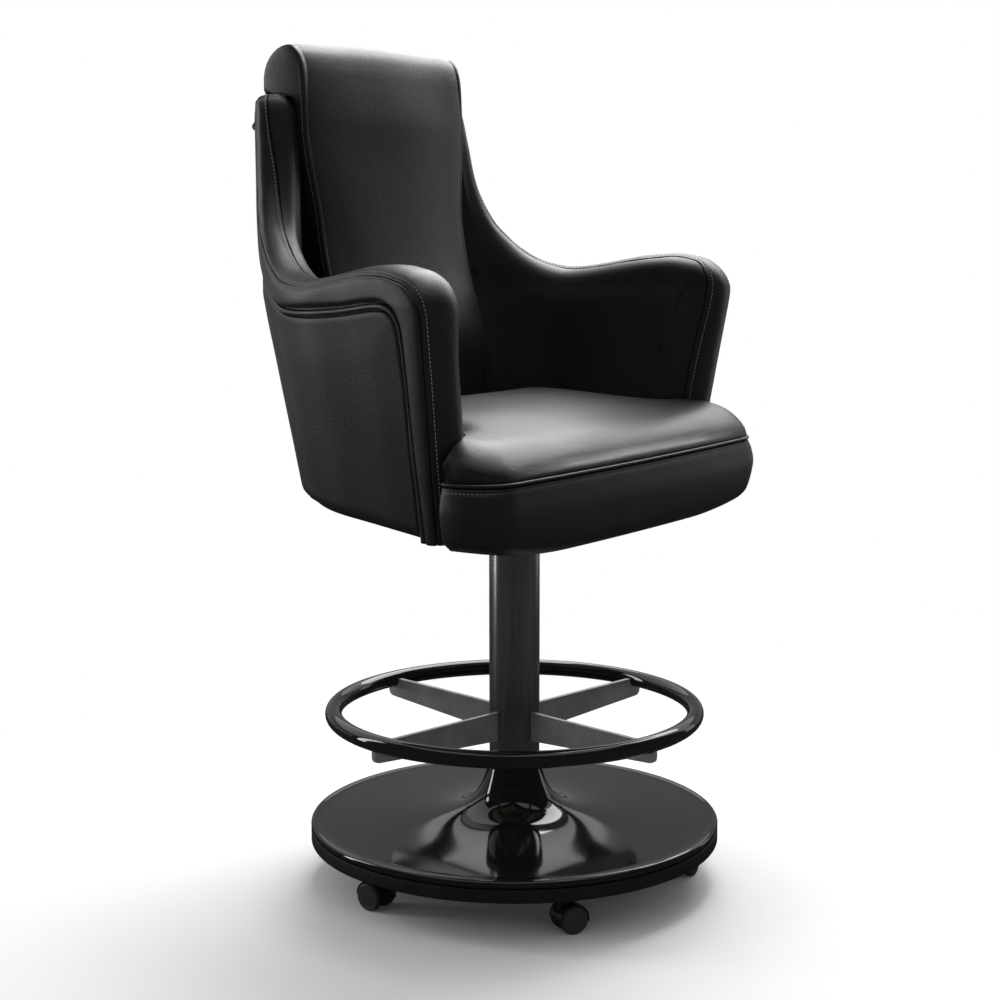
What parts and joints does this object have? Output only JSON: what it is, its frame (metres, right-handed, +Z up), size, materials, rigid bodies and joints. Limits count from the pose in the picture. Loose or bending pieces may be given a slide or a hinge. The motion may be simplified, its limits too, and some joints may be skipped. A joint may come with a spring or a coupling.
{
  "type": "gaming stool",
  "caption": "Upholstered high-back swivel tub stool on a weighted disc base with a foot ring and hidden casters.",
  "frame": {"origin": "on the floor under the centre of the stool's bounding box; the column's axis stands 19.1 mm in front of it, at y = -0.0191 m", "axes": "+Z up from the floor, -Y the way the seat faces; left in a node's name is -X, as seen from the front"},
  "size_m": [0.696, 0.5807, 1.094],
  "materials": {
    "gloss_black": "gloss",
    "satin_black": "satin",
    "rubber": "matte",
    "cast_iron": "rough, painted",
    "plain_steel": "mill finish",
    "bearing_steel": "ground",
    "zinc": "zinc plated",
    "nylon": "matte",
    "caster_black": "satin",
    "wheel_grey": "matte",
    "plywood": "plain",
    "timber": "plain",
    "leather": "fine grain, semi-matte",
    "leather_dark": "fine grain, semi-matte"
  },
  "bodies": {
    "base": {"base_cover": "gloss_black", "weight_plate": "cast_iron", "base_bumper": "rubber", "neck_collar": "rubber", "column": "satin_black", "column_foot": "plain_steel", "foot_bolt": "zinc", "foot_ring": "gloss_black", "ring_bar_1": "gloss_black", "ring_bar_2": "gloss_black", "ring_bar_3": "gloss_black", "ring_bar_4": "gloss_black", "swivel_housing": "nylon", "ball_cage": "bearing_steel", "caster_stem_1": "zinc", "caster_stem_2": "zinc", "caster_stem_3": "zinc", "caster_stem_4": "zinc", "caster_stem_5": "zinc"},
    "caster_1": {"caster_body_1": "caster_black"},
    "wheels_1": {"caster_axle_1": "zinc", "caster_wheel_in_1": "wheel_grey", "caster_wheel_out_1": "wheel_grey"},
    "caster_2": {"caster_body_2": "caster_black"},
    "wheels_2": {"caster_axle_2": "zinc", "caster_wheel_in_2": "wheel_grey", "caster_wheel_out_2": "wheel_grey"},
    "caster_3": {"caster_body_3": "caster_black"},
    "wheels_3": {"caster_axle_3": "zinc", "caster_wheel_in_3": "wheel_grey", "caster_wheel_out_3": "wheel_grey"},
    "caster_4": {"caster_body_4": "caster_black"},
    "wheels_4": {"caster_axle_4": "zinc", "caster_wheel_in_4": "wheel_grey", "caster_wheel_out_4": "wheel_grey"},
    "caster_5": {"caster_body_5": "caster_black"},
    "wheels_5": {"caster_axle_5": "zinc", "caster_wheel_in_5": "wheel_grey", "caster_wheel_out_5": "wheel_grey"},
    "seat": {"upper_race": "bearing_steel", "swivel_spindle": "plain_steel", "spindle_nut": "zinc", "bearing_shroud": "satin_black", "seat_plate": "plain_steel", "seat_bolt_1": "zinc", "seat_bolt_2": "zinc", "seat_bolt_3": "zinc", "seat_bolt_4": "zinc", "front_bearer": "timber", "rear_bearer": "timber", "seat_board": "plywood", "front_rail": "timber", "tub_shell": "leather", "outside_panel": "leather_dark", "arm_band_left": "leather", "arm_band_right": "leather", "inner_lining_left": "leather", "inner_lining_right": "leather", "seat_cushion": "leather", "back_pad": "leather"}
  },
  "joints": [
    {"name": "seat_swivel", "type": "hinge", "parent": "base", "child": "seat", "pos_m": [0, -0.0191, 0.468], "axis": [0, 0, 1], "continuous": true},
    {"name": "caster_1_swivel", "type": "hinge", "parent": "base", "child": "caster_1", "pos_m": [-0.14151, -0.19015, 0.0535], "axis": [0, 0, 1], "continuous": true},
    {"name": "caster_1_roll", "type": "hinge", "parent": "caster_1", "child": "wheels_1", "pos_m": [-0.13087, -0.19571, 0.018], "axis": [-0.4633, -0.8862, 0], "continuous": true},
    {"name": "caster_2_swivel", "type": "hinge", "parent": "base", "child": "caster_2", "pos_m": [0.11895, -0.20654, 0.0535], "axis": [0, 0, 1], "continuous": true},
    {"name": "caster_2_roll", "type": "hinge", "parent": "caster_2", "child": "wheels_2", "pos_m": [0.13079, -0.20456, 0.018], "axis": [0.165, -0.9863, 0], "continuous": true},
    {"name": "caster_3_swivel", "type": "hinge", "parent": "base", "child": "caster_3", "pos_m": [0.21502, 0.03611, 0.0535], "axis": [0, 0, 1], "continuous": true},
    {"name": "caster_3_roll", "type": "hinge", "parent": "caster_3", "child": "wheels_3", "pos_m": [0.21204, 0.04773, 0.018], "axis": [0.9686, 0.2487, 0], "continuous": true},
    {"name": "caster_4_swivel", "type": "hinge", "parent": "base", "child": "caster_4", "pos_m": [0.01394, 0.20246, 0.0535], "axis": [0, 0, 1], "continuous": true},
    {"name": "caster_4_roll", "type": "hinge", "parent": "caster_4", "child": "wheels_4", "pos_m": [0.00196, 0.20322, 0.018], "axis": [0.0628, 0.998, 0], "continuous": true},
    {"name": "caster_5_swivel", "type": "hinge", "parent": "base", "child": "caster_5", "pos_m": [-0.20641, 0.06262, 0.0535], "axis": [0, 0, 1], "continuous": true},
    {"name": "caster_5_roll", "type": "hinge", "parent": "caster_5", "child": "wheels_5", "pos_m": [-0.20716, 0.05065, 0.018], "axis": [-0.998, 0.0628, 0], "continuous": true}
  ]
}
